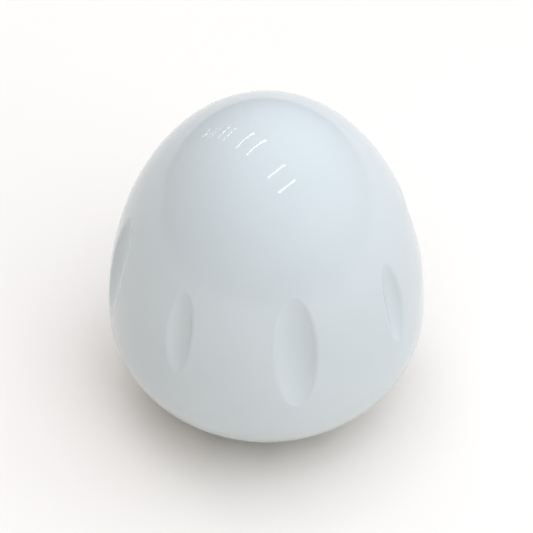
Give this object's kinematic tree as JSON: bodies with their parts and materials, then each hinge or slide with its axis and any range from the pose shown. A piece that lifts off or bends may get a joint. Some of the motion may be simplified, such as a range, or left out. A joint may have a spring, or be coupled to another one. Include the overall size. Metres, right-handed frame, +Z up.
{
  "type": "kitchen timer",
  "caption": "Wind-up egg-shaped kitchen timer whose dome turns to set the time, with a ticking spring movement and bell inside.",
  "frame": {"origin": "centre of the foot, on the surface it stands on", "axes": "+Z up along the turning axis, +Y towards the printed scale's zero, at the back"},
  "size_m": [0.062, 0.062, 0.0708],
  "materials": {
    "shell_white": "high gloss moulded ABS",
    "base_white": "high gloss moulded ABS",
    "rubber_grey": "matt",
    "spider_plastic": "moulded acetal",
    "screw_steel": "zinc plated",
    "plate_brass": "stamped",
    "wheel_brass": "cut and deburred",
    "arbor_steel": "turned",
    "spring_steel": "blued strip",
    "bell_steel": "nickel plated"
  },
  "bodies": {
    "case": {"base_bowl": "base_white", "foot_ring": "rubber_grey", "movement_screws": "screw_steel", "bottom_plate": "plate_brass", "top_plate": "plate_brass", "pillars": "wheel_brass", "plate_screws": "screw_steel", "top_bush": "wheel_brass", "mainspring": "spring_steel", "spring_post": "arbor_steel", "stop_lever_pivot": "arbor_steel", "stop_lever_spring": "spring_steel", "bell": "bell_steel", "bell_stud": "wheel_brass", "bell_screw": "screw_steel"},
    "dome": {"dome_shell": "shell_white", "drive_spider": "spider_plastic", "spider_screws": "screw_steel", "main_arbor": "arbor_steel", "winding_clutch": "spring_steel", "arbor_clip": "spring_steel", "stop_cam": "wheel_brass"},
    "great": {"great_wheel": "wheel_brass"},
    "second": {"second_arbor": "arbor_steel", "second_wheel": "wheel_brass"},
    "third": {"third_arbor": "arbor_steel", "third_wheel": "wheel_brass"},
    "escape": {"escape_arbor": "arbor_steel", "escape_wheel": "wheel_brass"},
    "pallet": {"pallet_arbor": "arbor_steel", "pallet_lever": "plate_brass", "pallet_pins": "arbor_steel"},
    "strike": {"strike_arbor": "arbor_steel", "strike_wheel": "wheel_brass"},
    "hammer": {"hammer_arbor": "arbor_steel", "hammer_anchor": "plate_brass", "hammer_arm": "spring_steel", "hammer_head": "wheel_brass"},
    "stop": {"stop_lever": "arbor_steel"}
  },
  "joints": [
    {"name": "dome_turn", "type": "hinge", "parent": "case", "child": "dome", "pos_m": [0, 0, 0.02], "axis": [0, 0, -1], "range_deg": [0, 350]},
    {"name": "great_turn", "type": "hinge", "parent": "case", "child": "great", "pos_m": [0, 0, 0.02], "axis": [0, 0, 1], "range_deg": [-350, 350]},
    {"name": "second_turn", "type": "hinge", "parent": "case", "child": "second", "pos_m": [0, 0.01, 0.02], "axis": [0, 0, 1], "range_deg": [-3150, 3150]},
    {"name": "third_turn", "type": "hinge", "parent": "case", "child": "third", "pos_m": [0.00685, 0.00778, 0.02], "axis": [0, 0, 1], "range_deg": [-25200, 25200]},
    {"name": "escape_turn", "type": "hinge", "parent": "case", "child": "escape", "pos_m": [0.01168, 0.00358, 0.02], "axis": [0, 0, 1], "range_deg": [-176400, 176400]},
    {"name": "strike_turn", "type": "hinge", "parent": "case", "child": "strike", "pos_m": [-0.0094, -0.00342, 0.02], "axis": [0, 0, 1], "range_deg": [-3150, 3150]},
    {"name": "pallet_rock", "type": "hinge", "parent": "case", "child": "pallet", "pos_m": [0.01211, -0.0014, 0.02], "axis": [0, 0, 1], "range_deg": [-4.5, 4.5]},
    {"name": "hammer_swing", "type": "hinge", "parent": "case", "child": "hammer", "pos_m": [-0.00673, -0.00865, 0.02], "axis": [0, 0, 1], "range_deg": [-2.5, 9]},
    {"name": "stop_lever_rock", "type": "hinge", "parent": "case", "child": "stop", "pos_m": [-0.0115, 0.002, 0.02], "axis": [0, 0, 1], "range_deg": [0, 6]}
  ],
  "couplings": [
    {"joint": "great_turn", "follows": "dome_turn", "ratio": -1},
    {"joint": "second_turn", "follows": "dome_turn", "ratio": 9},
    {"joint": "third_turn", "follows": "dome_turn", "ratio": -72},
    {"joint": "escape_turn", "follows": "dome_turn", "ratio": 504},
    {"joint": "strike_turn", "follows": "dome_turn", "ratio": 9}
  ]
}
